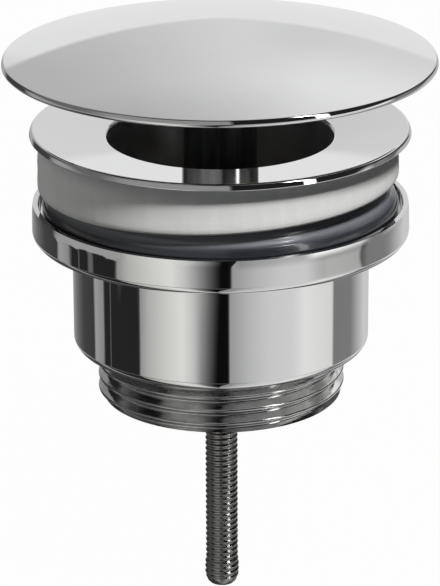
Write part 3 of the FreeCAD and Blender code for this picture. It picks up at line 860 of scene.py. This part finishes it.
def make_foam_gasket():
    """Foam ring pressed up under the flange: bulged at the side, hollow below, hanging a little askew."""
    degrees_askew = 2.2
    off_centre = 0.4
    held_over = 1.6
    freed_over = 3
    side_reach = 29
    lumpiness = 0.004
    pulled_in = 0.2
    # Lumps round the side, as waves: how many go round, how large they are and where they start
    waves = [(3, 0.10, 0.6), (7, 0.07, 2.1), (13, 0.04, 0)]
    side = [(29.75, -1.3), (30.05, -2.2), (30.22, -3.1), (30.27, -3.9), (30.23, -4.7), (30.28, -5.8)]
    lower_edge = [(30.32, -6.9), (30.3, -7.6), (30.1, -7.97), (29.5, -8.1), (28.6, -8.1), (28.0, -7.95)]
    hollow = [(26.4, -5.6), (24.9, -3.6), (24.5, -3.5), (21.6, -3.5)]
    under_flange = [(21.6, -1.58), (25.5, -1.02)]
    outline = Outline(29.45, -0.52).to(*side).to(*lower_edge).to(*hollow).to(*under_flange)
    mesh = outline.close().turned()
    slope = math.tan(math.radians(degrees_askew))
    for vert in mesh.verts:
        drop = -vert.co.z / MM
        way = math.atan2(vert.co.y, vert.co.x)
        lump = sum(size * math.sin(count * way + start) for count, size, start in waves)
        if math.hypot(vert.co.x, vert.co.y) > side_reach * MM:
            bulge = 1 + (lump - pulled_in) * lumpiness * min(1.0, drop / freed_over)
            vert.co.x *= bulge
            vert.co.y *= bulge
        vert.co.x -= off_centre * MM
        hanging = min(1.0, max(0.0, (drop - held_over) / freed_over))
        vert.co.z += hanging * slope * vert.co.x
    add_piece(mesh, "foam_gasket_soft", "upper", "white_foam", FOAM, stands_for="foam_gasket", crease=50)


def make_rubber_seal():
    """Cone ring on a plain foot, with a bead round the foot and fine ridges at the bottom of the cone."""
    ridge_foot = (28.9, -10.25)
    ridge_step = (-0.48, 0.7)
    ridges = 3
    foot = [(29.8, -15.0), (29.8, -12.25)]
    bead = [(29.95, -12.1), (29.92, -11.9), (29.72, -11.85)]
    hollow_above_bead = [(29.6, -11.3), (29.45, -10.8), (29.2, -10.55), (28.95, -10.35)]
    cone = [(27.3, -8.05), (25.3, -5.15), (24.45, -3.95)]
    top = [(24.1, -3.88), (22.3, -3.9), (22.05, -4.1)]
    outline = Outline(22.05, -15.0).to(*foot).to(*bead).to(*hollow_above_bead)
    for number in range(ridges):
        across = ridge_foot[0] + number * ridge_step[0]
        up = ridge_foot[1] + number * ridge_step[1]
        outline.to((across, up), (across - 0.20, up + 0.14), (across - 0.24, up + 0.36))
    mesh = outline.to(*cone).to(*top).close().turned()
    add_piece(
        mesh, "rubber_seal_ridged", "lower", "grey_rubber", GREY_RUBBER, stands_for="rubber_seal", crease=60
    )


# Clamping screw

def metric_thread(reach, pitch):
    """One pitch of a worn rolled thread from root to root: a plain wave."""
    depth = 0.26 * pitch
    steps = 12
    outline = Outline(reach - depth, 0)
    for step in range(1, steps + 1):
        wave = (1 + math.cos(math.tau * step / steps)) / 2
        outline.to((reach - depth * wave, pitch * step / steps))
    return outline


def make_head_and_shank(thread_top):
    """The screw above its thread: head with a hexagon socket and O-ring groove, shank and clip groove."""
    head = 5
    head_top = -7
    head_foot = -15
    chamfer = 0.5
    socket_mouth = 3.0
    socket_flats = 5
    socket_depth = 4
    ring_groove = 4.1
    ring_groove_top = -9.0
    ring_groove_foot = -10.2
    shank = 2.99
    clip_groove = 2.5
    clip_groove_top = -22.2
    turned = Outline(clip_groove, thread_top).to(
        (clip_groove, clip_groove_top), (shank, clip_groove_top), (shank, head_foot),
        (head - chamfer, head_foot), (head, head_foot + chamfer), (head, ring_groove_foot),
        (ring_groove, ring_groove_foot), (ring_groove, ring_groove_top), (head, ring_groove_top),
        (head, head_top - chamfer), (head - chamfer, head_top), (socket_mouth, head_top),
    ).turned(96)
    corner = socket_flats / 2 * MM / math.cos(math.pi / 6)
    socket = bmesh.new()
    bmesh.ops.create_cone(
        socket, cap_ends=True, segments=6, radius1=corner, radius2=corner, depth=socket_depth * MM
    )
    bmesh.ops.translate(socket, vec=(0, 0, (head_top - socket_depth / 2) * MM), verts=socket.verts)
    lid = [face for face in socket.faces if face.normal.z > 0.9]
    bmesh.ops.delete(socket, geom=lid, context="FACES_ONLY")
    join(turned, socket)
    stitch(turned, head_top)
    return turned


def make_clamping_screw():
    """Head and shank, a rolled thread wound as a skin, and the slightly swollen end."""
    crest = 2.80
    pitch = 1.0
    thread_top = -23.4
    thread_foot = -81.1
    gap = 0.1
    swollen_below = -77.2
    swelling = 0.055
    mesh = make_head_and_shank(thread_top)
    end = Outline(2.66, thread_foot).to((2.45, -81.6), (2.05, -82.0), (1.7, -82.1), (0, -82.1)).turned(96)
    skin = helix(metric_thread(crest, pitch), pitch, foot=-83, turns=61, steps=32)
    trim(skin, thread_foot + gap, thread_top - gap)
    for vert in skin.verts:
        swell = 1 + swelling * min(1.0, max(0.0, swollen_below - vert.co.z / MM))
        vert.co.x *= swell
        vert.co.y *= swell
    turn_down(skin, (-81.01, 2.72), (-80.3, 2.94), (-77.0, 2.95))
    join(mesh, skin)
    join(mesh, end)
    stitch(mesh, thread_foot, thread_top)
    add_piece(
        mesh, "clamping_screw_threaded", "screw", "zinc_steel", ZINC, stands_for="clamping_screw", crease=40
    )


# Inner pieces

def ease(node, name, body, slot, material, size):
    """The node's own solid again with its sharp edges eased."""
    flat = math.radians(1)
    sharp = math.radians(30)
    mesh = bmesh.new()
    mesh.from_mesh(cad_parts[node].data)
    bmesh.ops.remove_doubles(mesh, verts=mesh.verts, dist=1e-6)
    bmesh.ops.dissolve_limit(mesh, angle_limit=flat, verts=mesh.verts, edges=mesh.edges)
    edges = [edge for edge in mesh.edges if len(edge.link_faces) == 2 and edge.calc_face_angle(0) > sharp]
    round_edges(mesh, edges, size, 3)
    add_piece(mesh, name, body, slot, material, stands_for=node, crease=40)


CHROME = finish(polished_chrome)
THROAT = finish(dull_throat)
CUT_THREAD = finish(cut_thread)
POST = finish(drawn_post)
BRASS = finish(machined_brass)
ZINC = finish(zinc_plate)
BLACK_STEEL = finish(black_steel)
FOAM = finish(white_foam)
GREY_RUBBER = finish(grey_rubber)
BLACK_RUBBER = finish(black_rubber)

make_camera()
make_world()
make_softbox()
make_floor()
make_upper_body()
make_cap_shell()
make_cap_post()
make_lower_body()
make_foam_gasket()
make_rubber_seal()
make_clamping_screw()
ease("upper_spider", "upper_spider_cast", "upper", "plain_brass", BRASS, 0.25)
ease("lower_spider", "lower_spider_cast", "lower", "plain_brass", BRASS, 0.25)
ease("captive_nut", "captive_nut_eased", "lower", "zinc_steel", ZINC, 0.2)
ease("thrust_washer", "thrust_washer_eased", "upper", "plain_brass", BRASS, 0.12)
ease("retaining_ring", "retaining_ring_eased", "screw", "spring_steel", BLACK_STEEL, 0.08)
ease("cap_boss", "cap_boss_turned", "cap", "plain_brass", BRASS, 0.25)
o_ring_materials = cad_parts["head_o_ring"].data.materials
o_ring_materials.clear()
o_ring_materials.append(BLACK_RUBBER)

SCENE.view_settings.view_transform = "Standard"
